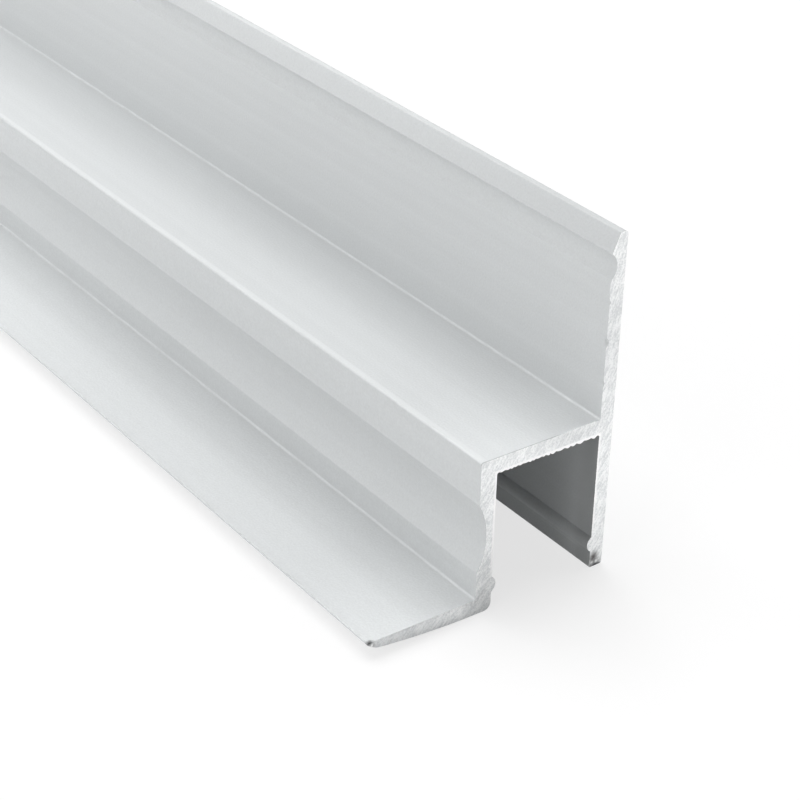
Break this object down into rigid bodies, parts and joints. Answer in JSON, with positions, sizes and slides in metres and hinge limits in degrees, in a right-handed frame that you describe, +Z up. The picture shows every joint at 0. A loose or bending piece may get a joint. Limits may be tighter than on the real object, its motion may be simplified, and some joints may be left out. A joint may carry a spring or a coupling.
{
  "type": "aluminium extrusion profile",
  "caption": "Straight extruded aluminium edge profile with a tall lipped flange, a downward panel slot with grip beads, and a tapered foot.",
  "frame": {"origin": "middle of the bar's bounding box, at the level of the floor it stands on", "axes": "+X along the bar, +Y towards the tall back flange, +Z up the flange"},
  "size_m": [1, 0.0234, 0.0302],
  "materials": {
    "anodised_aluminium": "pale satin anodised, with plain sawn ends"
  },
  "bodies": {
    "root": {"edge_profile": "anodised_aluminium"}
  },
  "joints": []
}
